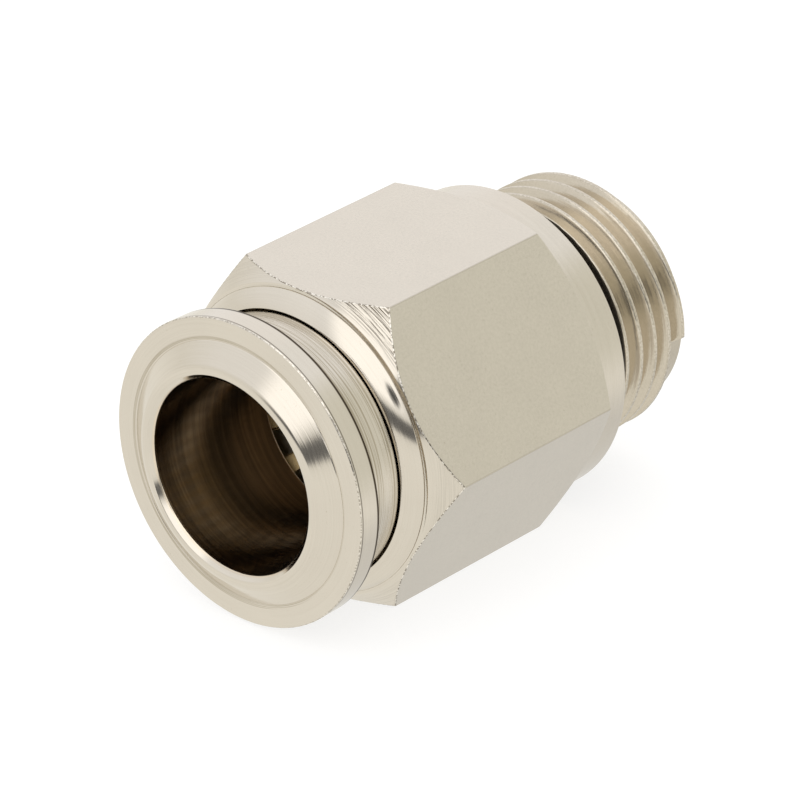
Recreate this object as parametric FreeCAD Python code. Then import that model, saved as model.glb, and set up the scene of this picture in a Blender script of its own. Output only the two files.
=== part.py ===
import FreeCAD, Part
import math
import os

# Straight push to connect fitting, 12 mm tube to G3/8 parallel thread, nickel plated brass.
# Everything turns about the Y axis. Y = 0 is the plane where the tube stops inside the body, -Y is
# the tube's side, +Y is the thread's side, and the hexagon lies on the flat that faces -Z.
# All sizes are in millimetres.

# hexagon and the turned outside of the body
HEX_FLATS = 20.0
HEX_FRONT_CORNER_Y = -13.74
HEX_REAR_CORNER_Y = -0.45
FRONT_CHAMFER_SLOPE = 1.0
REAR_CHAMFER_SLOPE = 0.72
CHAMFER_START_R = 9.98
NOSE_R = 9.78
NOSE_FRONT_Y = -16.3
NOSE_HOLE_R = 8.75
NOSE_ROUND_START_R = 8.95
NOSE_ROUND_END_Y = -15.6
NOSE_STEP_L = 0.06
NOSE_HOLE_EDGE = 0.05
SEAT_COLLAR_R = 9.97
SEAT_Y = 2.85
SEAT_EDGE = 0.1
SEAL_RECESS_R = 9.1
SEAL_RECESS_Y = 2.75

# port thread, G3/8: 55 degree Whitworth form
THREAD_R = 8.33
THREAD_PITCH = 1.337
THREAD_DEPTH = 0.83
THREAD_CREST_W = 0.25
THREAD_HALF_ANGLE = 27.5
THREAD_END_Y = 11.2
THREAD_FIRST_GROOVE_Y = 4.36
THREAD_CHAMFER_R = 7.5
THREAD_CHAMFER_L = 0.75
THREAD_SHOULDER_Y = 4.55
THREAD_SHOULDER_L = 0.3
NECK_R = 7.4

# stepped bore of the body
CHAMBER_R = 9.3
CHAMBER_FRONT_Y = -15.5
CHAMBER_REAR_Y = -8.0
SEAL_POCKET_R = 8.3
SEAL_POCKET_REAR_Y = -5.1
TUBE_SOCKET_R = 6.06
TUBE_LEAD_IN = 0.4
FLOW_R = 4.75
FLOW_EDGE = 0.35

# release collar: a finger flange with a dished front, a plain sleeve, a stop rib and a tapered
# nose that opens the teeth
COLLAR_BORE_R = 6.25
RIM_R = 9.88
RIM_FRONT_Y = -21.05
RIM_EDGE = 0.08
RIM_BACK_R = 9.85
RIM_BACK_Y = -19.43
SLEEVE_R = 8.58
CREASE_R = 8.4
CREASE_Y = -21.0
LIP_OUTER_R = 7.15
LIP_OUTER_Y = -21.87
LIP_CREST_R = 6.85
LIP_CREST_Y = -22.0
LIP_INNER_R = 6.58
LIP_INNER_Y = -21.97
MOUTH_CHAMFER_Y = -21.67
RIB_R = 8.9
RIB_FRONT_Y = -13.85
RIB_LAND_L = 0.25
TAPER_START_R = 8.3
TAPER_START_Y = -13.25
TIP_OUTER_R = 6.85
TIP_INNER_R = 6.5
TIP_Y = -11.8

# retaining ring: the turned sleeve that the rolled nose holds in the chamber
RETAINER_BORE_R = 8.65
RETAINER_POCKET_R = 9.0
RETAINER_POCKET_Y = -13.9

# grip ring: stamped stainless spring steel with slanted teeth
GRIP_FRONT_Y = -11.0
GRIP_T = 0.3
GRIP_ROOT_R = 8.3
GRIP_TIP_R = 5.8
GRIP_SLANT = 30.0
GRIP_TEETH = 17
GRIP_SLOT_W = 1.1
GRIP_SLOT_END_R = 8.0
GRIP_PHASE = 146.8

# support ring behind the teeth
SUPPORT_LAND_R = 8.6
SUPPORT_BORE_R = 6.3
SUPPORT_CONE_Y = -8.3

# section radius of each seal
TUBE_SEAL_SECTION_R = 1.2
PORT_SEAL_SECTION_R = 0.83

CLEAR = 0.02
CUT_OVER = 0.3
AXIS = FreeCAD.Vector(0, 1, 0)
ORIGIN = FreeCAD.Vector(0, 0, 0)


def at(r, y):
    return FreeCAD.Vector(r, y, 0)


def closed_wire(points, arcs=()):
    """Closed outline; arcs maps the index of a starting point to the middle point of an arc."""
    arcs = dict(arcs)
    edges = []
    for i, point in enumerate(points):
        end = points[(i + 1) % len(points)]
        if i in arcs:
            edges.append(Part.Arc(at(*point), at(*arcs[i]), at(*end)).toShape())
        else:
            edges.append(Part.LineSegment(at(*point), at(*end)).toShape())
    return Part.Wire(edges)


def turned(points, arcs=()):
    """Solid of revolution about the Y axis from an outline of (radius, y) points."""
    return Part.Face(closed_wire(points, arcs)).revolve(ORIGIN, AXIS, 360)


def o_ring(centre_r, centre_y, section_r):
    return Part.makeTorus(centre_r, section_r, FreeCAD.Vector(0, centre_y, 0), AXIS)


def hex_prism(flats, y0, y1):
    corner_r = flats / math.sqrt(3)
    corners = []
    for k in range(7):
        angle = math.radians(60 * k)
        corners.append(FreeCAD.Vector(corner_r * math.cos(angle), y0, corner_r * math.sin(angle)))
    return Part.Face(Part.makePolygon(corners)).extrude(AXIS * (y1 - y0))


def thread_blank():
    """Threaded end before the groove is cut."""
    blank = turned([
        (FLOW_R, THREAD_SHOULDER_Y),
        (NECK_R, THREAD_SHOULDER_Y),
        (THREAD_R, THREAD_SHOULDER_Y + THREAD_SHOULDER_L),
        (THREAD_R, THREAD_END_Y - THREAD_CHAMFER_L),
        (THREAD_CHAMFER_R, THREAD_END_Y),
        (FLOW_R + FLOW_EDGE, THREAD_END_Y),
        (FLOW_R, THREAD_END_Y - FLOW_EDGE),
    ])
    # the seam of the turned faces is kept away from where the groove starts
    return blank.rotated(ORIGIN, AXIS, 90)


def thread_groove():
    """Swept helical groove, right-handed, that runs out in the neck and past the end."""
    start_y = THREAD_FIRST_GROOVE_Y - THREAD_PITCH / 4
    height = THREAD_END_Y + THREAD_PITCH / 2 - start_y
    root_r = THREAD_R - THREAD_DEPTH
    outer_r = THREAD_R + CUT_OVER
    slope = math.tan(math.radians(THREAD_HALF_ANGLE))
    crest_half = (THREAD_PITCH - THREAD_CREST_W) / 2
    root_half = crest_half - THREAD_DEPTH * slope
    outer_half = crest_half + (outer_r - THREAD_R) * slope
    section = Part.makePolygon([
        FreeCAD.Vector(root_r, 0, -root_half),
        FreeCAD.Vector(outer_r, 0, -outer_half),
        FreeCAD.Vector(outer_r, 0, outer_half),
        FreeCAD.Vector(root_r, 0, root_half),
        FreeCAD.Vector(root_r, 0, -root_half),
    ])
    helix = Part.makeHelix(THREAD_PITCH, height, root_r)
    groove = Part.Wire(helix.Edges).makePipeShell([section], True, True)
    groove.rotate(ORIGIN, FreeCAD.Vector(0, 0, 1), -90)
    groove.rotate(ORIGIN, FreeCAD.Vector(1, 0, 0), -90)
    groove.translate(AXIS * start_y)
    return groove


def body():
    corner_r = HEX_FLATS / math.sqrt(3)
    blank_r = corner_r + CUT_OVER
    front_y = HEX_FRONT_CORNER_Y + (blank_r - corner_r) * FRONT_CHAMFER_SLOPE
    rear_y = HEX_REAR_CORNER_Y - (blank_r - corner_r) * REAR_CHAMFER_SLOPE
    chamfer_y = HEX_FRONT_CORNER_Y - (corner_r - CHAMFER_START_R) * FRONT_CHAMFER_SLOPE
    rear_foot_y = HEX_REAR_CORNER_Y + (corner_r - SEAT_COLLAR_R) * REAR_CHAMFER_SLOPE
    outline = [
        (NOSE_HOLE_R, NOSE_FRONT_Y + NOSE_HOLE_EDGE),
        (NOSE_HOLE_R + NOSE_HOLE_EDGE, NOSE_FRONT_Y),
        (NOSE_ROUND_START_R, NOSE_FRONT_Y),
        (NOSE_R, NOSE_ROUND_END_Y),
        (NOSE_R, chamfer_y - NOSE_STEP_L),
        (CHAMFER_START_R, chamfer_y),
        (blank_r, front_y),
        (blank_r, rear_y),
        (SEAT_COLLAR_R, rear_foot_y),
        (SEAT_COLLAR_R, SEAT_Y - SEAT_EDGE),
        (SEAT_COLLAR_R - SEAT_EDGE, SEAT_Y),
        (SEAL_RECESS_R, SEAT_Y),
        (SEAL_RECESS_R, SEAL_RECESS_Y),
        (NECK_R, SEAL_RECESS_Y),
        (NECK_R, THREAD_SHOULDER_Y),
        (FLOW_R, THREAD_SHOULDER_Y),
        (FLOW_R, 0.0),
        (TUBE_SOCKET_R, 0.0),
        (TUBE_SOCKET_R, SEAL_POCKET_REAR_Y + TUBE_LEAD_IN),
        (TUBE_SOCKET_R + TUBE_LEAD_IN, SEAL_POCKET_REAR_Y),
        (SEAL_POCKET_R, SEAL_POCKET_REAR_Y),
        (SEAL_POCKET_R, CHAMBER_REAR_Y),
        (CHAMBER_R, CHAMBER_REAR_Y),
        (CHAMBER_R, CHAMBER_FRONT_Y),
        (NOSE_HOLE_R, CHAMBER_FRONT_Y),
    ]
    # a quarter of an ellipse passes 0.707 of the way out and 0.293 of the way back at its middle
    nose_mid_r = NOSE_ROUND_START_R + (NOSE_R - NOSE_ROUND_START_R) * 0.707
    nose_mid_y = NOSE_FRONT_Y + (NOSE_ROUND_END_Y - NOSE_FRONT_Y) * 0.293
    shell = turned(outline, {2: (nose_mid_r, nose_mid_y)})
    shell = shell.common(hex_prism(HEX_FLATS, NOSE_FRONT_Y - 1, THREAD_END_Y))
    return shell.fuse(thread_blank().cut(thread_groove()))


def release_collar():
    outline = [
        (COLLAR_BORE_R, MOUTH_CHAMFER_Y),
        (LIP_INNER_R, LIP_INNER_Y),
        (LIP_OUTER_R, LIP_OUTER_Y),
        (CREASE_R, CREASE_Y),
        (RIM_R - RIM_EDGE, RIM_FRONT_Y),
        (RIM_R, RIM_FRONT_Y + RIM_EDGE),
        (RIM_BACK_R, RIM_BACK_Y),
        (SLEEVE_R, RIM_BACK_Y),
        (SLEEVE_R, RIB_FRONT_Y),
        (RIB_R, RIB_FRONT_Y),
        (RIB_R, RIB_FRONT_Y + RIB_LAND_L),
        (TAPER_START_R, TAPER_START_Y),
        (TIP_OUTER_R, TIP_Y),
        (TIP_INNER_R, TIP_Y),
        (COLLAR_BORE_R, TIP_Y - (TIP_INNER_R - COLLAR_BORE_R)),
    ]
    return turned(outline, {1: (LIP_CREST_R, LIP_CREST_Y)})


def retaining_ring():
    return turned([
        (RETAINER_BORE_R, CHAMBER_FRONT_Y),
        (CHAMBER_R, CHAMBER_FRONT_Y),
        (CHAMBER_R, GRIP_FRONT_Y),
        (RETAINER_POCKET_R, GRIP_FRONT_Y),
        (RETAINER_POCKET_R, RETAINER_POCKET_Y),
        (RETAINER_BORE_R, RETAINER_POCKET_Y),
    ])


def grip_ring():
    slant = math.radians(GRIP_SLANT)
    tip_y = GRIP_FRONT_Y + (GRIP_ROOT_R - GRIP_TIP_R) * math.tan(slant)
    back_y = GRIP_T / math.cos(slant)
    edge_r = GRIP_T * math.sin(slant)
    edge_y = GRIP_T * math.cos(slant)
    back_root_r = GRIP_ROOT_R + (back_y - GRIP_T) / math.tan(slant)
    ring = turned([
        (GRIP_TIP_R, tip_y),
        (GRIP_ROOT_R, GRIP_FRONT_Y),
        (CHAMBER_R - CLEAR, GRIP_FRONT_Y),
        (CHAMBER_R - CLEAR, GRIP_FRONT_Y + GRIP_T),
        (back_root_r, GRIP_FRONT_Y + GRIP_T),
        (GRIP_TIP_R + edge_r, tip_y + edge_y),
    ])
    slot_front_y = GRIP_FRONT_Y - 1
    slot_depth = tip_y + edge_y + 1 - slot_front_y
    slot = Part.makeBox(
        GRIP_SLOT_END_R - GRIP_TIP_R + 1, slot_depth, GRIP_SLOT_W,
        FreeCAD.Vector(GRIP_TIP_R - 1, slot_front_y, -GRIP_SLOT_W / 2),
    )
    slot_end = Part.makeCylinder(
        GRIP_SLOT_W / 2, slot_depth, FreeCAD.Vector(GRIP_SLOT_END_R, slot_front_y, 0), AXIS,
    )
    slot = slot.fuse(slot_end)
    pitch = 360.0 / GRIP_TEETH
    for k in range(GRIP_TEETH):
        ring = ring.cut(slot.rotated(ORIGIN, AXIS, GRIP_PHASE + (k + 0.5) * pitch))
    return ring


def support_ring():
    return turned([
        (SUPPORT_BORE_R, SUPPORT_CONE_Y),
        (SUPPORT_LAND_R, GRIP_FRONT_Y + GRIP_T),
        (CHAMBER_R, GRIP_FRONT_Y + GRIP_T),
        (CHAMBER_R, CHAMBER_REAR_Y),
        (SUPPORT_BORE_R, CHAMBER_REAR_Y),
    ])


def tube_seal():
    centre_r = SEAL_POCKET_R - TUBE_SEAL_SECTION_R
    return o_ring(centre_r, (CHAMBER_REAR_Y + SEAL_POCKET_REAR_Y) / 2, TUBE_SEAL_SECTION_R)


def port_seal():
    centre_y = SEAL_RECESS_Y + PORT_SEAL_SECTION_R
    return o_ring(NECK_R + PORT_SEAL_SECTION_R, centre_y, PORT_SEAL_SECTION_R)


os.makedirs("parts", exist_ok=True)
for node in (body, release_collar, retaining_ring, grip_ring, support_ring, tube_seal, port_seal):
    shape = node()
    if len(shape.Solids) == 1:
        shape = shape.Solids[0]
    box = shape.BoundBox
    print(
        f"{node.__name__}: {shape.ShapeType}, valid {shape.isValid()}, solids {len(shape.Solids)}, "
        f"faces {len(shape.Faces)}, volume {shape.Volume:.1f}, "
        f"y {box.YMin:.2f} to {box.YMax:.2f}, z {box.ZMin:.2f} to {box.ZMax:.2f}"
    )
    shape.exportStep(f"parts/{node.__name__}.step")
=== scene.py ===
import math
import random

import bpy
from mathutils import Matrix, Vector


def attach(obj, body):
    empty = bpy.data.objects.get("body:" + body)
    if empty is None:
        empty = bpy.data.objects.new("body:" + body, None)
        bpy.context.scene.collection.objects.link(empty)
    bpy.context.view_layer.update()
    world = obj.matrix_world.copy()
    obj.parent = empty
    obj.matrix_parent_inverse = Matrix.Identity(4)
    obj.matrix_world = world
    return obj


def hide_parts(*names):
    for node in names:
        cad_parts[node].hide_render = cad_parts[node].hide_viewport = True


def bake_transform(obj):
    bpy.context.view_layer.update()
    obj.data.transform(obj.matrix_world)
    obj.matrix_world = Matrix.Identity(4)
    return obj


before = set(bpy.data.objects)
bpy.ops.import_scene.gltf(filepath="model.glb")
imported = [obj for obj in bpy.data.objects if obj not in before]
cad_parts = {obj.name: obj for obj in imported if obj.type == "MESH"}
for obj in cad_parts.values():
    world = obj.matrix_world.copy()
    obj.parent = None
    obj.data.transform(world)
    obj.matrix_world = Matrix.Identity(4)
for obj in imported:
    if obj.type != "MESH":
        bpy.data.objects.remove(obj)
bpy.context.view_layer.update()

MM = 0.001
MICRON = 1e-6
TAU = 2 * math.pi
# points of a mesh that are closer than this, in metres, become one
WELD = 1e-7

# ---------------------------------------------------------------- sizes of the fitting, in mm
# Y = 0 is the plane where the tube stops; -Y is the tube's side and +Y the thread's side.
HEX_APOTHEM = 10.0
HEX_CORNER_R = HEX_APOTHEM / math.cos(math.pi / 6)
HEX_EDGE_ROUND = 0.10
HEX_EDGE_BEND = 0.05
FRONT_CORNER_Y = -13.74
REAR_CORNER_Y = -0.45
FRONT_SLOPE = 1.0
REAR_SLOPE = 0.72
CHAMFER_START_R = 9.98
CHAMFER_START_Y = FRONT_CORNER_Y - (HEX_CORNER_R - CHAMFER_START_R) * FRONT_SLOPE
NOSE_R = 9.78
NOSE_FRONT_Y = -16.3
NOSE_HOLE_R = 8.75
NOSE_LIP_R = 8.69
SEAT_COLLAR_R = 9.97
SEAT_FOOT_Y = REAR_CORNER_Y + (HEX_CORNER_R - SEAT_COLLAR_R) * REAR_SLOPE
SEAT_Y = 2.85
SEAT_EDGE = 0.1
SEAL_RECESS_R = 9.1

# the port's thread
NECK_R = 7.4
THREAD_R = 8.33
THREAD_ROOT_R = 7.5
THREAD_DEPTH = THREAD_R - THREAD_ROOT_R
THREAD_HALF_ANGLE = math.radians(27.5)
THREAD_PITCH = 1.337
THREAD_GROOVE_Y = 4.36
THREAD_CREST_W = 0.25
THREAD_LOW_Y = 4.2
THREAD_SHOULDER_Y = 4.55
THREAD_SHOULDER_L = 0.3
THREAD_CHAMFER_L = 0.75
THREAD_END_Y = 11.2
THREAD_WEAR = 0.007
THREAD_START_TURN = 0.005
THREAD_START_FADE = 0.012
LAST_RIDGE_PHASE = 4.0
THREAD_STEPS = 40
FIRST_STEP = math.floor(((THREAD_LOW_Y - THREAD_GROOVE_Y) / THREAD_PITCH - 1) * THREAD_STEPS)
LAST_STEP = math.ceil((THREAD_END_Y - THREAD_GROOVE_Y) / THREAD_PITCH * THREAD_STEPS)

# the stepped bore of the body
CHAMBER_R = 9.3
CHAMBER_FRONT_Y = -15.5
CHAMBER_REAR_Y = -8.0
SEAL_POCKET_R = 8.3
SEAL_POCKET_REAR_Y = -5.1
SOCKET_R = 6.06
SOCKET_LEAD_IN = 0.4
FLOW_R = 4.75
FLOW_EDGE = 0.35
# the end face keeps the thread's finish this far into the bore
END_FINISH_DEPTH = 0.3
# the body's finishes are counted from 0: turned front, flats, turned rear, thread, bore
THREAD_ZONE = 3

# the release collar
COLLAR_BORE_R = 6.25
RIM_R = 9.88
RIM_FRONT_Y = -21.05
RIM_BACK_R = 9.85
RIM_BACK_Y = -19.43
SLEEVE_R = 8.58
CREASE_R = 8.4
CREASE_Y = -20.98
NICK_DEPTH = 0.012
RIB_R = 8.9
RIB_FRONT_Y = -13.85
TAPER_START = (8.3, -13.25)
TIP_OUTER_R = 6.85
TIP_INNER_R = 6.5
TIP_Y = -11.8

# the rings inside
RETAINER_BORE_R = 8.65
RETAINER_POCKET_R = 9.0
RETAINER_POCKET_Y = -13.9
SUPPORT_FRONT_Y = -10.7
SUPPORT_LAND_R = 8.6
SUPPORT_BORE_R = 6.3
SUPPORT_CONE_Y = -8.3
TUBE_SEAL = (7.1, -6.55, 1.2)
PORT_SEAL = (8.12, SEAT_Y + 0.63, 0.73)
MOULD_LINE = 0.012

GRIP_TEETH = 17
GRIP_PHASE = 146.8
GRIP_ROOT_R = 8.3
GRIP_TIP_R = 5.8
GRIP_FRONT_Y = -11.0
GRIP_T = 0.3
GRIP_BEND = 0.25
GRIP_SLOT_HALF = 0.55
GRIP_SLOT_END_R = 8.0
GRIP_RIM_R = 9.28
GRIP_SLANT = math.radians(30)
GRIP_STEPS = 12


# ---------------------------------------------------------------- mesh tools
def place(r, y, angle):
    """Point at radius r and height y on the axis, turned by angle from +X towards -Z."""
    return (r * math.cos(angle) * MM, y * MM, -r * math.sin(angle) * MM)


def lerp(a, b, t):
    return (a[0] + (b[0] - a[0]) * t, a[1] + (b[1] - a[1]) * t)


def toward(a, b, distance):
    length = math.hypot(b[0] - a[0], b[1] - a[1])
    return lerp(a, b, min(distance / max(length, 1e-9), 0.45))


def curve(start, bulge, end, steps):
    """Points of a curve that leaves start towards bulge and comes into end from it."""
    points = []
    for k in range(steps + 1):
        t = k / steps
        points.append(lerp(lerp(start, bulge, t), lerp(bulge, end, t), t))
    return points


def soften(points, size, closed=True, steps=4):
    """Rounds each corner of an outline, with support points beside it so that flats stay flat.

    size is one number, or a list with one entry per corner; 0 keeps a point as it is."""
    out = []
    n = len(points)
    for i, corner in enumerate(points):
        s = size[i] if isinstance(size, (list, tuple)) else size
        if s == 0 or (not closed and i in (0, n - 1)):
            out.append(corner)
            continue
        before, after = points[i - 1], points[(i + 1) % n]
        start, end = toward(corner, before, s), toward(corner, after, s)
        out.append(toward(corner, before, s * 1.5))
        out += curve(start, corner, end, steps)
        out.append(toward(corner, after, s * 1.5))
    return out


def weld_mesh(name, verts, faces, zones=None):
    """Mesh object from points that may repeat: equal points become one, empty faces go.

    zones gives each face the number of its material."""
    index = {}
    points = []
    lookup = []
    for v in verts:
        key = tuple(round(c / WELD) for c in v)
        if key not in index:
            index[key] = len(points)
            points.append(v)
        lookup.append(index[key])
    polygons = []
    numbers = []
    seen = set()
    for i, face in enumerate(faces):
        ring = []
        for corner in face:
            v = lookup[corner]
            if not ring or ring[-1] != v:
                ring.append(v)
        if len(ring) > 1 and ring[0] == ring[-1]:
            ring.pop()
        if len(ring) < 3 or len(set(ring)) != len(ring):
            continue
        key = tuple(sorted(ring))
        if key in seen:
            continue
        seen.add(key)
        polygons.append(ring)
        numbers.append(zones[i] if zones else 0)
    mesh = bpy.data.meshes.new(name)
    mesh.from_pydata(points, [], polygons)
    mesh.polygons.foreach_set("material_index", numbers)
    mesh.update()
    mesh.shade_smooth()
    obj = bpy.data.objects.new(name, mesh)
    bpy.context.scene.collection.objects.link(obj)
    return obj


def ring_faces(columns, rows):
    """Quads of a grid of columns round the axis, each a closed loop with the same rows."""
    faces = []
    for c in range(columns):
        right = (c + 1) % columns
        for r in range(rows):
            up = (r + 1) % rows
            faces.append((c * rows + r, c * rows + up, right * rows + up, right * rows + r))
    return faces


def lathe(name, outline, columns=360, wobble=None):
    """Closed turned solid from an outline of (radius, y) points."""
    verts = []
    for c in range(columns):
        angle = TAU * c / columns
        for r, y in outline:
            if wobble:
                r, y = wobble(r, y, angle)
            verts.append(place(r, y, angle))
    obj = weld_mesh(name, verts, ring_faces(columns, len(outline)))
    face_outward(obj)
    return obj


def face_outward(obj):
    """Turns the faces the right way out, judged by the mesh's signed volume."""
    mesh = obj.data
    volume = 0.0
    for polygon in mesh.polygons:
        corners = [mesh.vertices[i].co for i in polygon.vertices]
        for k in range(1, len(corners) - 1):
            volume += corners[0].dot(corners[k].cross(corners[k + 1]))
    if volume < 0:
        mesh.flip_normals()


# ---------------------------------------------------------------- the body
def hex_radius(angle):
    """Distance from the axis to the hexagon, whose corners are rounded."""
    delta = abs((angle + math.pi / 6) % (math.pi / 3) - math.pi / 6)
    centre = (HEX_APOTHEM - HEX_EDGE_ROUND) / math.cos(math.pi / 6)
    tangent = math.atan2(HEX_EDGE_ROUND * 0.5, centre + HEX_EDGE_ROUND * math.cos(math.pi / 6))
    if delta < tangent:
        inside = HEX_EDGE_ROUND ** 2 - (centre * math.sin(delta)) ** 2
        return centre * math.cos(delta) + math.sqrt(max(inside, 0.0))
    return HEX_APOTHEM / math.cos(math.pi / 6 - delta)


def body_angles():
    """Even steps round the axis, with extra ones where the hexagon's corners are rounded."""
    angles = set()
    for k in range(360):
        angles.add(float(k))
    for corner in range(6):
        for offset in (0.06, 0.12, 0.18, 0.24, 0.30, 0.36, 0.45, 0.7):
            angles.add(round((corner * 60 + offset) % 360, 4))
            angles.add(round((corner * 60 - offset) % 360, 4))
    return [math.radians(a) for a in sorted(angles)]


def thread_form(phase):
    """Radius of the thread at a phase of its pitch; 0 is the middle of the first groove."""
    d = abs(phase - round(phase)) * THREAD_PITCH
    crest_at = (THREAD_PITCH - THREAD_CREST_W) / 2
    root_to = crest_at - THREAD_DEPTH * math.tan(THREAD_HALF_ANGLE)
    t = (d - root_to) / (crest_at - root_to)
    soft = 0.10
    if t < -soft:
        level = 0.0
    elif t < soft:
        level = (t + soft) ** 2 / (4 * soft)
    elif t < 1 - soft:
        level = t
    elif t < 1 + soft:
        level = 1 - (1 + soft - t) ** 2 / (4 * soft)
    else:
        level = 1.0
    return THREAD_ROOT_R + THREAD_DEPTH * level


def worn_thread(angle, phase):
    """Radius of the thread with small dents along its crests, which fade towards the root."""
    turns = angle + TAU * phase
    wave = math.sin(turns * 2.3) + math.sin(turns * 6.1) + math.sin(angle * 23) * math.sin(angle * 61)
    radius = thread_form(phase)
    height = (radius - THREAD_ROOT_R) / THREAD_DEPTH
    return radius - THREAD_WEAR * max(wave, 0.0) * height


def blunt_start(angle):
    """Height left of the last ridge past the place where the thread's thin start is cut away."""
    past = angle / TAU - THREAD_START_TURN
    return max(THREAD_DEPTH * (1 - past / THREAD_START_FADE), 0.0)


def thread_limit(y):
    """Largest radius of the threaded end at y: neck, shoulder, full size, end chamfer."""
    points = [(0.0, NECK_R), (THREAD_SHOULDER_Y, NECK_R),
              (THREAD_SHOULDER_Y + THREAD_SHOULDER_L, THREAD_R),
              (THREAD_END_Y - THREAD_CHAMFER_L, THREAD_R), (THREAD_END_Y, THREAD_ROOT_R)]
    for (y0, r0), (y1, r1) in zip(points, points[1:]):
        if y <= y1:
            return r0 + (r1 - r0) * (y - y0) / (y1 - y0)
    return THREAD_ROOT_R


def front_outline():
    """Nose from the mouth of the chamber, over its lip and its round, to the front chamfer."""
    lip = [(NOSE_HOLE_R, CHAMBER_FRONT_Y), (NOSE_HOLE_R, NOSE_FRONT_Y + 0.3),
           (NOSE_LIP_R, NOSE_FRONT_Y + 0.2), (NOSE_LIP_R, NOSE_FRONT_Y + 0.02),
           (NOSE_LIP_R + 0.02, NOSE_FRONT_Y), (NOSE_LIP_R + 0.04, NOSE_FRONT_Y + 0.01)]
    bulge, end = (9.42, -15.88), (NOSE_R, -15.35)
    outline = soften(lip, [0, 0.02, 0.02, 0.015, 0.015, 0], closed=False)
    outline += curve(lip[-1], bulge, end, 12)[1:-1]
    foot = (CHAMFER_START_R - 0.02, CHAMFER_START_Y)
    outline += soften([end, (NOSE_R, CHAMFER_START_Y - 0.08), foot], [0, 0.05, 0], closed=False)
    return outline


def rear_outline():
    """Seat collar, its face with the seal's recess, and the neck up to the thread."""
    outline = [(SEAT_COLLAR_R, SEAT_FOOT_Y)]
    outline += soften([(SEAT_COLLAR_R, SEAT_FOOT_Y + 0.04), (SEAT_COLLAR_R, SEAT_Y - SEAT_EDGE),
                       (SEAT_COLLAR_R - SEAT_EDGE, SEAT_Y), (SEAL_RECESS_R, SEAT_Y),
                       (SEAL_RECESS_R, SEAT_Y - SEAT_EDGE), (NECK_R, SEAT_Y - SEAT_EDGE),
                       (NECK_R, THREAD_LOW_Y)],
                      [0, 0.04, 0.04, 0.03, 0.03, 0.1, 0], closed=False)
    return outline


def bore_outline():
    """End face and stepped bore, back to the mouth of the chamber."""
    outline = [(THREAD_ROOT_R - gap, THREAD_END_Y) for gap in (0.01, 0.06, 0.4)]
    outline += soften([(6.5, THREAD_END_Y), (FLOW_R + FLOW_EDGE, THREAD_END_Y),
                       (FLOW_R, THREAD_END_Y - FLOW_EDGE), (FLOW_R, 0.0), (SOCKET_R, 0.0),
                       (SOCKET_R, SEAL_POCKET_REAR_Y + SOCKET_LEAD_IN),
                       (SOCKET_R + SOCKET_LEAD_IN, SEAL_POCKET_REAR_Y), (SEAL_POCKET_R, SEAL_POCKET_REAR_Y),
                       (SEAL_POCKET_R, CHAMBER_REAR_Y), (CHAMBER_R, CHAMBER_REAR_Y),
                       (CHAMBER_R, CHAMBER_FRONT_Y)],
                      [0, 0.05, 0.05, 0.05, 0.05, 0.05, 0.05, 0.06, 0.05, 0.06, 0.05], closed=False)
    return outline


def chamfer_heights(h):
    """Heights at which the front and rear chamfers meet the hexagon where its radius is h."""
    inward = HEX_CORNER_R - h
    return FRONT_CORNER_Y - inward * FRONT_SLOPE, REAR_CORNER_Y + inward * REAR_SLOPE


def thread_rows(angle):
    """Points of the thread at one angle, from the neck to the end face."""
    points = []
    for step in range(FIRST_STEP, LAST_STEP + 1):
        phase = step / THREAD_STEPS
        y = THREAD_GROOVE_Y + THREAD_PITCH * (angle / TAU + phase)
        if y <= THREAD_LOW_Y:
            points.append((NECK_R, THREAD_LOW_Y))
            continue
        if y >= THREAD_END_Y:
            points.append((THREAD_ROOT_R, THREAD_END_Y))
            continue
        r = min(worn_thread(angle, phase), thread_limit(y))
        if phase > LAST_RIDGE_PHASE and angle / TAU > THREAD_START_TURN:
            r = min(r, THREAD_ROOT_R + blunt_start(angle))
        points.append((r, y))
    return points


def body_column(angle, front, rear, bore):
    """Closed outline of the body at one angle, and the rows at which its finish changes."""
    h = hex_radius(angle)
    y_front, y_rear = chamfer_heights(h)
    front_foot, front_top = (CHAMFER_START_R, CHAMFER_START_Y), (h, y_front)
    rear_foot, rear_top = (SEAT_COLLAR_R, SEAT_FOOT_Y), (h, y_rear)
    on_cone = toward(front_top, front_foot, HEX_EDGE_BEND)
    on_flat = (h, y_front + HEX_EDGE_BEND)
    off_flat = (h, y_rear - HEX_EDGE_BEND)
    off_cone = toward(rear_top, rear_foot, HEX_EDGE_BEND)
    column = list(front)
    for t in (0, 0.03, 0.08, 0.3, 0.6, 0.8, 0.93):
        column.append(lerp(front_foot, on_cone, t))
    column += curve(on_cone, front_top, on_flat, 4)
    cuts = [len(column) - 3]
    for t in (0.02, 0.05, 0.1, 0.2, 0.35, 0.5, 0.65, 0.8, 0.9, 0.95, 0.98):
        column.append(lerp(on_flat, off_flat, t))
    cuts.append(len(column) + 2)
    column += curve(off_flat, rear_top, off_cone, 4)
    for t in (0.1, 0.3, 0.5, 0.7, 0.9, 0.97):
        column.append(lerp(off_cone, rear_foot, t))
    column += rear
    cuts.append(len(column) - 1)
    column += thread_rows(angle)
    end_face_rows = sum(y > THREAD_END_Y - END_FINISH_DEPTH for r, y in bore)
    cuts.append(len(column) + end_face_rows)
    return column + bore, cuts


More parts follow.
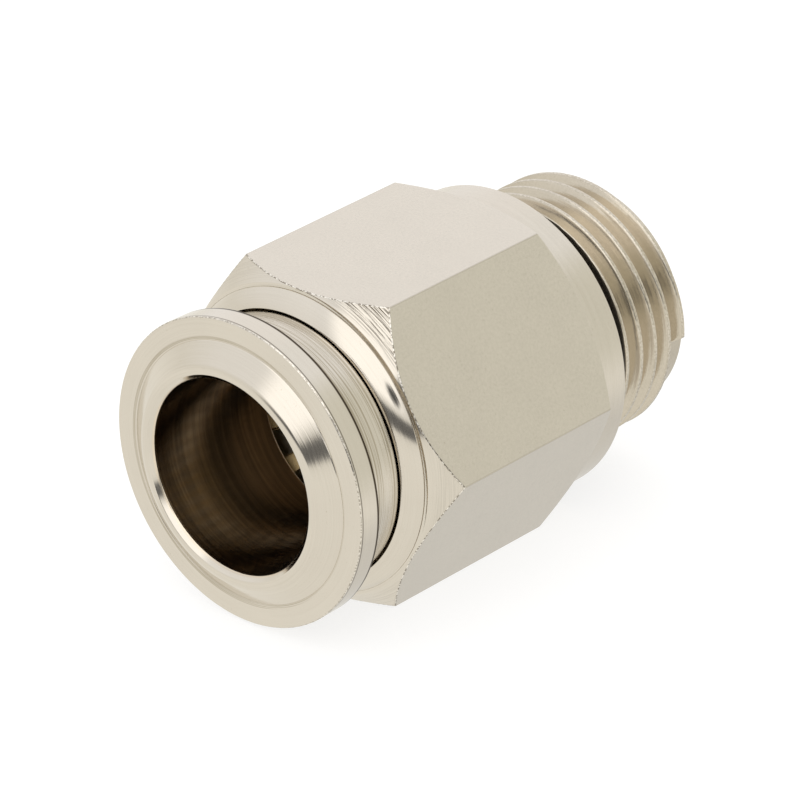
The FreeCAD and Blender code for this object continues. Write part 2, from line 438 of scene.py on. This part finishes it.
def body_mesh():
    front, rear, bore = front_outline(), rear_outline(), bore_outline()
    angles = body_angles()
    columns = len(angles)
    verts = []
    for angle in angles:
        column, cuts = body_column(angle, front, rear, bore)
        for r, y in column:
            verts.append(place(r, y, angle))
    rows = len(column)
    thread_start = cuts[THREAD_ZONE - 1] + 1
    thread_stop = thread_start + LAST_STEP - FIRST_STEP + 1
    faces = []
    zones = []
    for c in range(columns):
        right = (c + 1) % columns
        seam = c == columns - 1
        for row in range(rows):
            in_thread = thread_start - 1 <= row < thread_stop
            if seam and in_thread:
                continue
            up = (row + 1) % rows
            faces.append((c * rows + row, c * rows + up, right * rows + up, right * rows + row))
            zones.append(sum(row >= cut for cut in cuts))
    # the seam of the thread: the last column meets the first one a whole pitch further on
    for row in range(thread_start, thread_stop - 1 - THREAD_STEPS):
        a = (columns - 1) * rows + row
        faces.append((a, a + 1, row + 1 + THREAD_STEPS, row + THREAD_STEPS))
        zones.append(THREAD_ZONE)
    # the neck's last ring closes across the seam
    low = (columns - 1) * rows + thread_start - 1
    faces.append((low, low + 1, thread_start + THREAD_STEPS, thread_start - 1))
    zones.append(THREAD_ZONE)
    obj = weld_mesh("body_shell", verts, faces, zones)
    face_outward(obj)
    sharpen(obj, 25, above=THREAD_END_Y - 0.001)
    mark_edges(obj)
    return obj


# how strongly an edge is marked, and how far from it a point may be and still be marked
ARC_MARK, ARC_REACH = 1.0, 0.045
RIM_MARK, RIM_REACH = 0.8, 0.05
CREST_MARK, CREST_REACH = 0.7, 0.04
# the corners' weak mark gives them a thin dark line of painted shade
CORNER_MARK, CORNER_REACH = 0.5, 0.01
CORNER_ROUND_REACH = 0.04


def mark_edges(obj):
    """Marks the arcs where the front chamfer cuts the hexagon's flats, the hexagon's corners and the
    crests of the thread."""
    mesh = obj.data
    attribute = mesh.attributes.new("edge", "FLOAT", "POINT")
    for i, vertex in enumerate(mesh.vertices):
        x, y, z = (c / MM for c in vertex.co)
        radius = math.hypot(x, z)
        h = hex_radius(math.atan2(-z, x))
        y_front, y_rear = chamfer_heights(h)
        away = abs(radius - h)
        near_corner = h > HEX_CORNER_R - CORNER_ROUND_REACH
        if away < ARC_REACH and abs(y - y_front) < ARC_REACH:
            mark = ARC_MARK
        elif away < CORNER_REACH and near_corner and y_front < y < y_rear:
            mark = CORNER_MARK
        elif y > THREAD_LOW_Y and radius > THREAD_R - CREST_REACH:
            mark = CREST_MARK
        else:
            mark = 0.0
        attribute.data[i].value = mark


def mark_rim(obj, radius, y):
    """Marks a turned piece along the circle at this radius and height."""
    attribute = obj.data.attributes.new("edge", "FLOAT", "POINT")
    for i, vertex in enumerate(obj.data.vertices):
        away = math.hypot(math.hypot(vertex.co.x, vertex.co.z) / MM - radius, vertex.co.y / MM - y)
        attribute.data[i].value = RIM_MARK if away < RIM_REACH else 0.0


# ---------------------------------------------------------------- the collar and the inner rings
def collar_mesh():
    lip = curve((6.58, -21.97), (6.80, -22.06), (7.15, -21.87), 8)
    outline = [(COLLAR_BORE_R, TIP_Y - 0.25), (COLLAR_BORE_R, -21.67)] + lip + [
        (CREASE_R - 0.04, CREASE_Y - 0.05), (CREASE_R, CREASE_Y), (CREASE_R + 0.04, CREASE_Y - 0.02),
        (RIM_R - 0.08, RIM_FRONT_Y), (RIM_R, RIM_FRONT_Y + 0.08), (RIM_BACK_R, RIM_BACK_Y),
        (SLEEVE_R, RIM_BACK_Y), (SLEEVE_R, RIB_FRONT_Y), (RIB_R, RIB_FRONT_Y),
        (RIB_R, RIB_FRONT_Y + 0.25), TAPER_START, (TIP_OUTER_R, TIP_Y), (TIP_INNER_R, TIP_Y)]
    lip_sizes = [0.03, 0, 0, 0, 0, 0, 0, 0, 0.04]
    sizes = [0.06, 0.05] + lip_sizes + [
        0.02, 0.015, 0.02, 0.035, 0.035, 0.05, 0.15, 0.05, 0.05, 0.05, 0.08, 0.06, 0.05]
    rng = random.Random(5)
    nicks = [(rng.uniform(0, TAU), rng.uniform(0.006, 0.02), rng.uniform(0.3, 1.0))
             for _ in range(26)]

    def rim_nicks(r, y, angle):
        """Tiny dents along the front rim."""
        if r < 9.7 or y > -20.8:
            return r, y
        for centre, width, depth in nicks:
            gap = abs((angle - centre + math.pi) % TAU - math.pi)
            if gap < width:
                r -= NICK_DEPTH * depth * (1 - gap / width)
        return r, y

    obj = lathe("collar_shell", soften(outline, sizes), columns=480, wobble=rim_nicks)
    mark_rim(obj, RIM_R - 0.02, RIM_FRONT_Y + 0.04)
    return obj


def grip_front_y(r):
    """Height of the grip's front face at radius r: a flat rim, a bend and then the slanted teeth."""
    inward = GRIP_ROOT_R - r
    slope = math.tan(GRIP_SLANT)
    if inward < -GRIP_BEND:
        return GRIP_FRONT_Y
    if inward < GRIP_BEND:
        return GRIP_FRONT_Y + slope * (inward + GRIP_BEND) ** 2 / (4 * GRIP_BEND)
    return GRIP_FRONT_Y + slope * inward


def grip_tilt(r):
    """Tilt of the grip's surface at radius r: none on the rim, the whole slant on the teeth."""
    share = (GRIP_ROOT_R - r + GRIP_BEND) / (2 * GRIP_BEND)
    return GRIP_SLANT * min(max(share, 0.0), 1.0)


def slot_half_width(r):
    """Half the width, at radius r, of the round-ended slot between two teeth."""
    if r <= GRIP_SLOT_END_R:
        return GRIP_SLOT_HALF
    if r < GRIP_SLOT_END_R + GRIP_SLOT_HALF:
        return math.sqrt(GRIP_SLOT_HALF ** 2 - (r - GRIP_SLOT_END_R) ** 2)
    return 0.0


def tooth_points(radii, tooth, side):
    """Points of one face of a tooth, from its tip outward. Side 0 is the front and side 1 the back."""
    middle = math.radians(GRIP_PHASE + tooth * 360 / GRIP_TEETH)
    points = []
    for r in radii:
        half = math.pi / GRIP_TEETH - math.asin(slot_half_width(r) / r)
        tilt = grip_tilt(r)
        at_r = r + side * GRIP_T * math.sin(tilt)
        at_y = grip_front_y(r) + side * GRIP_T * math.cos(tilt)
        for k in range(GRIP_STEPS + 1):
            points.append(place(at_r, at_y, middle + half * (2 * k / GRIP_STEPS - 1)))
    return points


def tooth_faces(radii, front, back):
    """Faces of one tooth, whose front and back points start at these numbers."""
    wide = GRIP_STEPS + 1
    faces = []
    for i, r in enumerate(radii[:-1]):
        for k in range(GRIP_STEPS):
            a, b = front + i * wide + k, back + i * wide + k
            faces.append((a, a + 1, a + wide + 1, a + wide))
            faces.append((b, b + wide, b + wide + 1, b + 1))
        if slot_half_width(r) > 0:
            a, b = front + i * wide, back + i * wide
            faces.append((a, a + wide, b + wide, b))
            a, b = a + GRIP_STEPS, b + GRIP_STEPS
            faces.append((b, b + wide, a + wide, a))
    rim = (len(radii) - 1) * wide
    for k in range(GRIP_STEPS):
        a, b = front + k, back + k
        faces.append((a, b, b + 1, a + 1))
        a, b = front + rim + k, back + rim + k
        faces.append((a, a + 1, b + 1, b))
    return faces


def grip_mesh():
    """Stamped ring: a flat rim and slanted teeth with round-ended slots between them."""
    radii = [GRIP_TIP_R, 5.83, 5.9, 6.2, 6.6, 7.0, 7.4, 7.7, 7.9, GRIP_SLOT_END_R]
    for degrees in range(10, 90, 8):
        radii.append(GRIP_SLOT_END_R + GRIP_SLOT_HALF * math.sin(math.radians(degrees)))
    radii += [GRIP_SLOT_END_R + GRIP_SLOT_HALF, 8.7, 8.9, 9.2, 9.25, GRIP_RIM_R]
    verts, faces = [], []
    for tooth in range(GRIP_TEETH):
        front = len(verts)
        verts += tooth_points(radii, tooth, 0)
        back = len(verts)
        verts += tooth_points(radii, tooth, 1)
        faces += tooth_faces(radii, front, back)
    obj = weld_mesh("grip_teeth", verts, faces)
    face_outward(obj)
    sharpen(obj, 35)
    return obj


def sharpen(obj, degrees, above=-1000.0):
    """Keeps edges sharp where two faces meet at more than this angle, beyond a height on the axis."""
    mesh = obj.data
    by_edge = {}
    for polygon in mesh.polygons:
        for key in polygon.edge_keys:
            by_edge.setdefault(key, []).append(polygon.normal.copy())
    limit = math.cos(math.radians(degrees))
    attribute = mesh.attributes.get("sharp_edge") or mesh.attributes.new("sharp_edge", "BOOLEAN", "EDGE")
    for edge in mesh.edges:
        normals = by_edge.get(edge.key, [])
        low = min(mesh.vertices[i].co.y for i in edge.vertices) / MM
        crease = len(normals) == 2 and normals[0].dot(normals[1]) < limit
        attribute.data[edge.index].value = crease and low > above


def retainer_mesh():
    outline = [(RETAINER_BORE_R, CHAMBER_FRONT_Y), (CHAMBER_R, CHAMBER_FRONT_Y),
               (CHAMBER_R, GRIP_FRONT_Y), (RETAINER_POCKET_R, GRIP_FRONT_Y),
               (RETAINER_POCKET_R, RETAINER_POCKET_Y), (RETAINER_BORE_R, RETAINER_POCKET_Y)]
    return lathe("retainer", soften(outline, 0.05))


def support_mesh():
    outline = [(SUPPORT_BORE_R, SUPPORT_CONE_Y), (SUPPORT_LAND_R, SUPPORT_FRONT_Y),
               (CHAMBER_R, SUPPORT_FRONT_Y), (CHAMBER_R, CHAMBER_REAR_Y),
               (SUPPORT_BORE_R, CHAMBER_REAR_Y)]
    return lathe("support", soften(outline, 0.06))


def o_ring_mesh(name, centre_r, centre_y, section_r):
    """O-ring with the faint parting lines that its mould leaves."""
    outline = []
    count = 48
    for k in range(count):
        angle = TAU * k / count
        radius = section_r if k in (0, count // 2) else section_r - MOULD_LINE
        outline.append((centre_r + radius * math.cos(angle), centre_y + radius * math.sin(angle)))
    return lathe(name, outline, columns=240)


# ---------------------------------------------------------------- materials
WHITE = (1, 1, 1)
NICKEL = (0.76, 0.71, 0.63)
# the thread's nickel is a darker copy of NICKEL: painted shade
THREAD_NICKEL_SHADED = (0.69, 0.63, 0.53)
INSIDE_NICKEL = (0.40, 0.33, 0.24)
BRASS = (0.42, 0.32, 0.17)
STEEL = (0.66, 0.62, 0.53)
BORE_BROWN = (0.36, 0.30, 0.235)
# painted shade in the narrow gap where the collar's sleeve goes into the nose, and on the ring behind it
GAP_SHADE = (0.30, 0.235, 0.16)
# painted shade: thin dark lines along the collar rim's front edge and its back step
STEP_SHADE = (0.07, 0.052, 0.035)
# how far the edge of a darkened zone blurs, in mm
DARK_ZONE_EDGE = 0.04
# side of the front, round the axis, on which the cut tore the metal most
TORN_AT = math.radians(57)
# depths of marks, in micrometres
TORN_DEPTH = 11
FEED_DEPTH = 10
BURR_DEPTH = 5
RUBBER_GRAIN = 4


class Nodes:
    """Short-hand for building one node tree."""

    def __init__(self, tree):
        self.tree = tree

    def add(self, kind, **settings):
        node = self.tree.nodes.new(kind)
        for key, value in settings.items():
            setattr(node, key, value)
        return node

    def link(self, a, b):
        self.tree.links.new(a, b)

    def put(self, socket, value):
        """Gives an input a number or a colour, or links it to another node's output."""
        if isinstance(value, tuple):
            socket.default_value = (*value, 1)
        elif isinstance(value, (int, float)):
            socket.default_value = value
        else:
            self.link(value, socket)

    def math(self, operation, *values):
        node = self.add("ShaderNodeMath", operation=operation)
        for socket, value in zip(node.inputs, values):
            self.put(socket, value)
        return node.outputs[0]

    def times(self, a, b):
        return self.math("MULTIPLY", a, b)

    def plus(self, a, b):
        return self.math("ADD", a, b)

    def ramp(self, factor, stops):
        """Colour that changes evenly between stops, each a position and a colour."""
        node = self.add("ShaderNodeValToRGB")
        elements = node.color_ramp.elements
        while len(elements) < len(stops):
            elements.new(0.5)
        for element, (position, colour) in zip(elements, stops):
            element.position = position
            element.color = (*colour, 1)
        self.link(factor, node.inputs[0])
        return node.outputs[0]

    def noise(self, vector, scale, detail=3.0, roughness=0.55):
        node = self.add("ShaderNodeTexNoise")
        node.inputs["Scale"].default_value = scale
        node.inputs["Detail"].default_value = detail
        node.inputs["Roughness"].default_value = roughness
        self.link(vector, node.inputs["Vector"])
        return node.outputs["Fac"]

    def combine(self, x, y, z):
        node = self.add("ShaderNodeCombineXYZ")
        for socket, value in zip(node.inputs, (x, y, z)):
            self.put(socket, value)
        return node.outputs[0]

    def mix(self, factor, a, b, blend="MIX"):
        node = self.add("ShaderNodeMix", data_type="RGBA", blend_type=blend)
        self.put(node.inputs["Factor"], factor)
        self.put(node.inputs[6], a)
        self.put(node.inputs[7], b)
        return node.outputs[2]

    def smooth(self, value, low, high, to_low=0.0, to_high=1.0):
        """to_low where value is below low and to_high where it is above high, smooth in between."""
        node = self.add("ShaderNodeMapRange", interpolation_type="SMOOTHSTEP")
        self.link(value, node.inputs[0])
        for socket, number in zip(node.inputs[1:5], (low, high, to_low, to_high)):
            socket.default_value = number
        return node.outputs[0]

    def fade(self, value, low, high):
        """1 where value is below low, 0 where it is above high."""
        return self.smooth(value, low, high, 1.0, 0.0)


def new_material(name):
    material = bpy.data.materials.new(name)
    material.use_nodes = True
    material.node_tree.nodes.clear()
    nodes = Nodes(material.node_tree)
    output = nodes.add("ShaderNodeOutputMaterial")
    shader = nodes.add("ShaderNodeBsdfPrincipled")
    nodes.link(shader.outputs[0], output.inputs[0])
    return material, nodes, shader


def add_bump(nodes, shader, height):
    """Shows a height, in metres, as relief."""
    bump = nodes.add("ShaderNodeBump")
    bump.inputs["Strength"].default_value = 1.0
    bump.inputs["Distance"].default_value = 1.0
    nodes.link(height, bump.inputs["Height"])
    nodes.link(bump.outputs[0], shader.inputs["Normal"])


class Spot:
    """Where on a piece its material is seen, in mm, and how far that is from the axis."""

    def __init__(self, nodes):
        position = nodes.add("ShaderNodeTexCoord").outputs["Object"]
        split = nodes.add("ShaderNodeSeparateXYZ")
        nodes.link(position, split.inputs[0])
        self.x, self.y, self.z = (nodes.times(output, 1 / MM) for output in split.outputs)
        self.point = nodes.combine(self.x, self.y, self.z)
        squares = nodes.plus(nodes.times(self.x, self.x), nodes.times(self.z, self.z))
        self.radius = nodes.math("SQRT", squares)


def turned(nodes, spot, scale, twist, detail):
    """Noise that changes fast across the turning direction and slowly round the axis."""
    across = nodes.plus(spot.radius, nodes.times(spot.y, 0.62))
    turn_x = nodes.math("DIVIDE", spot.x, spot.radius)
    turn_z = nodes.math("DIVIDE", spot.z, spot.radius)
    around = nodes.combine(nodes.times(across, scale * 1.2), nodes.times(turn_x, twist),
                           nodes.times(turn_z, twist))
    return nodes.noise(around, 1.0, detail=detail, roughness=0.7)


def drawn_lines(nodes, spot):
    """Noise that changes slowly along the axis."""
    stretched = nodes.combine(nodes.times(spot.x, 7.0), nodes.times(spot.y, 0.5),
                              nodes.times(spot.z, 7.0))
    return nodes.noise(stretched, 1.0)


def plated(nodes, colour, lines, cloud, speck, fine, grain):
    """The metal's colour with a slight drift, faint lines, a few small pits and flecks."""
    drift = nodes.ramp(cloud, [(0.3, tuple(c * 0.97 for c in colour)), (0.7, colour)])
    line_shade = nodes.ramp(lines, [(0.3, (0.94, 0.93, 0.92)), (0.6, WHITE)])
    tint = nodes.mix(min(fine, 1.0) * 0.7, drift, line_shade, "MULTIPLY")
    pits = nodes.ramp(speck, [(0.29, (0.74, 0.70, 0.63)), (0.35, WHITE)])
    tint = nodes.mix(0.5, tint, pits, "MULTIPLY")
    flecks = nodes.ramp(speck, [(0.40, (0.95, 0.95, 0.95)), (0.60, WHITE)])
    return nodes.mix(min(grain * 2, 1.0), tint, flecks, "MULTIPLY")


def darken_zone(nodes, spot, tint, zone):
    """Paints one zone in a darker colour, which is r low, r high, y low, y high and that colour; most zones
    hold painted shade.
    """
    r_low, r_high, y_low, y_high, zone_colour = zone
    inside = nodes.times(nodes.smooth(spot.radius, r_low - DARK_ZONE_EDGE, r_low + DARK_ZONE_EDGE),
                         nodes.fade(spot.radius, r_high - DARK_ZONE_EDGE, r_high + DARK_ZONE_EDGE))
    inside = nodes.times(inside, nodes.smooth(spot.y, y_low - DARK_ZONE_EDGE, y_low + DARK_ZONE_EDGE))
    inside = nodes.times(inside, nodes.fade(spot.y, y_high - DARK_ZONE_EDGE, y_high + DARK_ZONE_EDGE))
    return nodes.mix(inside, tint, zone_colour)


def scored(nodes, tint, height, marks, where, depth, shades):
    """Cuts marks into the height, and shades their hollows, as far as where is above 0."""
    height = nodes.plus(height, nodes.times(nodes.times(marks, where), depth * MICRON))
    return nodes.mix(where, tint, nodes.ramp(marks, shades), "MULTIPLY"), height


def torn(nodes, spot, tint, height, start):
    """Deep turning marks beyond the radius start, deepest near the angle TORN_AT."""
    angle = nodes.math("ARCTAN2", spot.z, spot.x)
    away = nodes.math("ABSOLUTE", nodes.math("SUBTRACT", angle, TORN_AT))
    where = nodes.times(nodes.smooth(spot.radius, start, start + 0.6),
                        nodes.smooth(away, 0.2, 0.5, 1.0, 0.1))
    stripes = turned(nodes, spot, 16.0, 2.5, 3.0)
    shades = [(0.44, (0.10, 0.085, 0.065)), (0.50, WHITE)]
    return scored(nodes, tint, height, stripes, where, TORN_DEPTH, shades)


def fed(nodes, spot, tint, height, low, high):
    """Close and deep turning marks between two radii."""
    where = nodes.times(nodes.smooth(spot.radius, low, low + 0.05),
                        nodes.fade(spot.radius, high - 0.05, high))
    feed = turned(nodes, spot, 14.0, 0.5, 3.0)
    shades = [(0.40, (0.62, 0.59, 0.52)), (0.52, WHITE)]
    return scored(nodes, tint, height, feed, where, FEED_DEPTH, shades)


def burrs_and_painted_line(nodes, spot, tint, height):
    """Burrs on the marked edges, with broken plating on the strongest and a thin dark line of
    painted shade on the weakest, which are the hexagon's corners."""
    edge = nodes.add("ShaderNodeAttribute", attribute_name="edge").outputs["Fac"]
    burr = nodes.noise(spot.point, 7.0, detail=2.0, roughness=0.6)
    height = nodes.plus(height, nodes.times(nodes.times(burr, edge), BURR_DEPTH * MICRON))
    worn = nodes.ramp(burr, [(0.44, (0.16, 0.13, 0.09)), (0.54, (0.97, 0.93, 0.86))])
    tint = nodes.mix(nodes.smooth(edge, 0.6, 0.95, 0.0, 0.8), tint, worn)
    # painted shade: a thin dark line along weakly marked edges, which are the hexagon's corners
    line = nodes.times(nodes.smooth(edge, 0.2, 0.45), nodes.smooth(edge, 0.55, 0.65, 0.35, 0.0))
    return nodes.mix(line, tint, (0.42, 0.38, 0.31)), height


def dulled(nodes, spot, tint, rough, reach):
    """Within the radius reach the turning marks are wider, and the surface is less polished."""
    streaks = turned(nodes, spot, 3.0, 0.35, 3.0)
    shades = nodes.ramp(streaks, [(0.40, (0.80, 0.76, 0.72)), (0.62, (1.3, 1.22, 1.1))])
    tint = nodes.mix(nodes.fade(spot.radius, reach, reach + 0.1), tint, shades, "MULTIPLY")
    return tint, nodes.plus(rough, nodes.smooth(spot.radius, reach, reach + 0.1, 0.09, 0.0))


def metal(name, colour, roughness, fine=0.0, coarse=0.0, grain=0.0, drawn=0.0, burrs_and_corner_shade=False,
          torn_from=None, ridged=None, dull_within=None, dark=()):
    """Plated or bare metal.

    fine and coarse are the depths in micrometres of turning marks that run round the axis, grain
    that of an all-over speckle and drawn that of scratches along the axis. ragged gives burrs to
    the parts of the mesh whose edge attribute is set, and a thin dark line of painted shade along
    the hexagon's corners. Beyond the radius torn_from the turning marks
    are deep, as where a cut is interrupted, and between the radii of ridged they are close and deep,
    as from a fast feed. Within dull_within the surface is less polished.
    dark lists zones (r low, r high, y low, y high, colour) that are painted darker: painted shade
    in narrow gaps and along steps, and a darker brown inside a bore."""
    material, nodes, shader = new_material(name)
    spot = Spot(nodes)
    lines = turned(nodes, spot, 9.0, 0.9, 4.0)
    wide = turned(nodes, spot, 4.5, 1.3, 2.0)
    cloud = nodes.noise(spot.point, 0.35)
    speck = nodes.noise(spot.point, 6.0, detail=4.0, roughness=0.7)

    tint = plated(nodes, colour, lines, cloud, speck, fine, grain)
    for zone in dark:
        tint = darken_zone(nodes, spot, tint, zone)

    height = nodes.times(lines, fine * MICRON)
    for pattern, depth in ((wide, coarse), (speck, grain), (drawn_lines(nodes, spot), drawn)):
        height = nodes.plus(height, nodes.times(pattern, depth * MICRON))
    if torn_from:
        tint, height = torn(nodes, spot, tint, height, torn_from)
    if ridged:
        tint, height = fed(nodes, spot, tint, height, *ridged)
    if burrs_and_corner_shade:
        tint, height = burrs_and_painted_line(nodes, spot, tint, height)

    rough = nodes.plus(roughness - 0.04, nodes.times(lines, 0.05))
    rough = nodes.plus(rough, nodes.times(cloud, 0.03))
    if dull_within:
        tint, rough = dulled(nodes, spot, tint, rough, dull_within)

    shader.inputs["Metallic"].default_value = 1.0
    nodes.link(tint, shader.inputs["Base Color"])
    nodes.link(rough, shader.inputs["Roughness"])
    add_bump(nodes, shader, height)
    return material


def rubber(name):
    material, nodes, shader = new_material(name)
    spot = Spot(nodes)
    cloud = nodes.noise(spot.point, 0.9, detail=4.0)
    fine = nodes.noise(spot.point, 14.0)
    black = nodes.ramp(cloud, [(0.3, (0.035, 0.033, 0.030)), (0.7, (0.060, 0.057, 0.052))])
    nodes.link(black, shader.inputs["Base Color"])
    nodes.link(nodes.plus(0.32, nodes.times(fine, 0.16)), shader.inputs["Roughness"])
    add_bump(nodes, shader, nodes.times(fine, RUBBER_GRAIN * MICRON))
    return material


collar_nickel = metal("nickel_collar", NICKEL, 0.11, fine=1.5, coarse=3.5, dull_within=6.3, dark=[
    # a darker brown inside the collar's bore
    (0.0, 6.35, -21.55, -11.0, BORE_BROWN),
    # painted shade on the sleeve where it goes into the nose's gap
    (8.0, 8.7, -15.92, -11.0, GAP_SHADE),
    # painted shade along the rim's front edge and along its back step
    (9.6, 9.9, -20.91, -20.84, STEP_SHADE),
    (9.6, 9.9, -19.61, -19.30, STEP_SHADE)], burrs_and_corner_shade=True, ridged=(8.4, 8.7))
front_nickel = metal("nickel_front", NICKEL, 0.11, fine=1.2, coarse=3.0, burrs_and_corner_shade=True, torn_from=9.95)
flat_nickel = metal("nickel_flats", NICKEL, 0.24, grain=0.5, drawn=0.8, burrs_and_corner_shade=True)
rear_nickel = metal("nickel_rear", NICKEL, 0.20, fine=1.5, grain=0.2)
# the thread's material holds painted shade in its darker colour
thread_nickel_shaded = metal("nickel_thread_shaded", THREAD_NICKEL_SHADED, 0.16, fine=2.0, coarse=3.0, grain=0.8,
                      burrs_and_corner_shade=True)
inside_nickel = metal("nickel_inside", INSIDE_NICKEL, 0.30, fine=0.8)
# painted shade on the retaining ring's front, in the gap behind the nose
brass = metal("turned_brass", BRASS, 0.28, fine=0.8, dark=[(8.0, 9.4, -16.0, -15.2, GAP_SHADE)])
steel = metal("stamped_steel", STEEL, 0.30, grain=0.5)
nitrile = rubber("nitrile")


# ---------------------------------------------------------------- the pieces
def finish_piece(obj, body, nodes, materials):
    """Gives a piece its materials, and tells which body carries it and what it stands for."""
    for material in materials:
        obj.data.materials.append(material)
    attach(obj, body)
    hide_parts(*nodes)


finish_piece(body_mesh(), "body", ["body"],
             [front_nickel, flat_nickel, rear_nickel, thread_nickel_shaded, inside_nickel])
finish_piece(collar_mesh(), "collar", ["release_collar"], [collar_nickel])
finish_piece(retainer_mesh(), "body", ["retaining_ring"], [brass])
finish_piece(support_mesh(), "body", ["support_ring"], [brass])
finish_piece(o_ring_mesh("seal_inner", *TUBE_SEAL), "body", ["tube_seal"], [nitrile])
finish_piece(o_ring_mesh("seal_port", *PORT_SEAL), "body", ["port_seal"], [nitrile])
grip = grip_mesh()
grip.data.materials.append(steel)
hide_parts("grip_ring")
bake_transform(grip)


# ---------------------------------------------------------------- floor, light and camera
FLOOR_HALF = 3.0
FLOOR_GAP = 0.00002
# parts of the tent: the middle of the part, the angles at which it starts to fade and ends, colour
BACK_WALL = ((-0.62, 0.66, 0.44), 16, 34, (1.0, 0.985, 0.98))
SIDE_WALL = ((0.69, 0.66, 0.30), 14, 40, (0.77, 0.755, 0.675))
UNDERSIDE = ((0.0, 0.66, -0.75), 16, 44, (0.74, 0.73, 0.70))
LENS_HOLE = ((0.57, -0.72, 0.40), 4, 9, (0.06, 0.06, 0.06))
LAMP_WHITE = (1.38, 1.36, 1.33)
GAP_GREY = (0.15, 0.148, 0.145)


def floor():
    s = FLOOR_HALF
    z = -HEX_APOTHEM * MM - FLOOR_GAP
    mesh = bpy.data.meshes.new("floor")
    mesh.from_pydata([(-s, -s, z), (s, -s, z), (s, s, z), (-s, s, z)], [], [(0, 1, 2, 3)])
    obj = bpy.data.objects.new("floor", mesh)
    bpy.context.scene.collection.objects.link(obj)
    material, _, shader = new_material("floor_white")
    shader.inputs["Base Color"].default_value = (0.30, 0.30, 0.30, 1)
    shader.inputs["Roughness"].default_value = 0.9
    shader.inputs["Emission Color"].default_value = (1.0, 1.0, 1.0, 1)
    shader.inputs["Emission Strength"].default_value = 0.76
    mesh.materials.append(material)
    obj.visible_glossy = False


def lobe(nodes, direction, centre, inner, outer):
    """1 within inner degrees of centre, falling to 0 at outer degrees."""
    dot = nodes.add("ShaderNodeVectorMath", operation="DOT_PRODUCT")
    nodes.link(direction, dot.inputs[0])
    dot.inputs[1].default_value = Vector(centre).normalized()
    far, near = math.cos(math.radians(outer)), math.cos(math.radians(inner))
    return nodes.smooth(dot.outputs["Value"], far, near)


def studio():
    """A white tent: a lamp high up in front, duller walls, a dark gap near the horizon and the dark
    hole for the lens."""
    world = bpy.data.worlds.new("studio")
    bpy.context.scene.world = world
    world.use_nodes = True
    world.node_tree.nodes.clear()
    nodes = Nodes(world.node_tree)
    output = nodes.add("ShaderNodeOutputWorld")
    background = nodes.add("ShaderNodeBackground")
    nodes.link(background.outputs[0], output.inputs[0])
    direction = nodes.add("ShaderNodeTexCoord").outputs["Generated"]
    split = nodes.add("ShaderNodeSeparateXYZ")
    nodes.link(direction, split.inputs[0])
    x, y, z = split.outputs
    level = nodes.plus(nodes.times(z, 0.5), 0.5)
    tint = nodes.ramp(level, [(0.0, (0.90, 0.88, 0.82)), (0.42, (0.94, 0.92, 0.86)),
                              (0.56, (0.86, 0.84, 0.78)), (0.70, (0.93, 0.92, 0.90)),
                              (1.0, (1.0, 1.0, 1.0))])
    lamp = nodes.times(nodes.smooth(x, -0.32, -0.10), nodes.fade(x, 0.60, 0.80))
    lamp = nodes.times(lamp, nodes.smooth(z, 0.20, 0.31))
    lamp = nodes.times(lamp, nodes.fade(y, 0.30, 0.52))
    tint = nodes.mix(lamp, tint, LAMP_WHITE)
    for centre, inner, outer, colour in (BACK_WALL, SIDE_WALL, UNDERSIDE):
        tint = nodes.mix(lobe(nodes, direction, centre, inner, outer), tint, colour)
    from_horizon = nodes.math("ABSOLUTE", nodes.math("SUBTRACT", z, 0.09))
    gap = nodes.times(nodes.fade(from_horizon, 0.06, 0.12),
                      lobe(nodes, direction, (0.55, -0.83, 0.09), 42, 60))
    gap = nodes.math("MAXIMUM", gap, lobe(nodes, direction, (0.93, 0.20, 0.28), 9, 17))
    tint = nodes.mix(gap, tint, GAP_GREY)
    centre, inner, outer, colour = LENS_HOLE
    tint = nodes.mix(lobe(nodes, direction, centre, inner, outer), tint, colour)
    nodes.link(tint, background.inputs[0])
    background.inputs[1].default_value = 1.0


def camera():
    right = Vector((0.74404, 0.66789, -0.01788))
    up = Vector((-0.28933, 0.34620, 0.89243))
    back = Vector((0.60223, -0.65884, 0.45083))
    position = Vector((0.21085, -0.23734, 0.15715))
    data = bpy.data.cameras.new("camera")
    data.sensor_width = 36.0
    data.lens = 258.73
    data.clip_start = 0.01
    data.clip_end = 50.0
    obj = bpy.data.objects.new("camera", data)
    turn = Matrix((right, up, back)).transposed().to_4x4()
    obj.matrix_world = Matrix.Translation(position) @ turn
    bpy.context.scene.collection.objects.link(obj)
    bpy.context.scene.camera = obj


floor()
studio()
camera()
bpy.context.scene.view_settings.view_transform = "Standard"
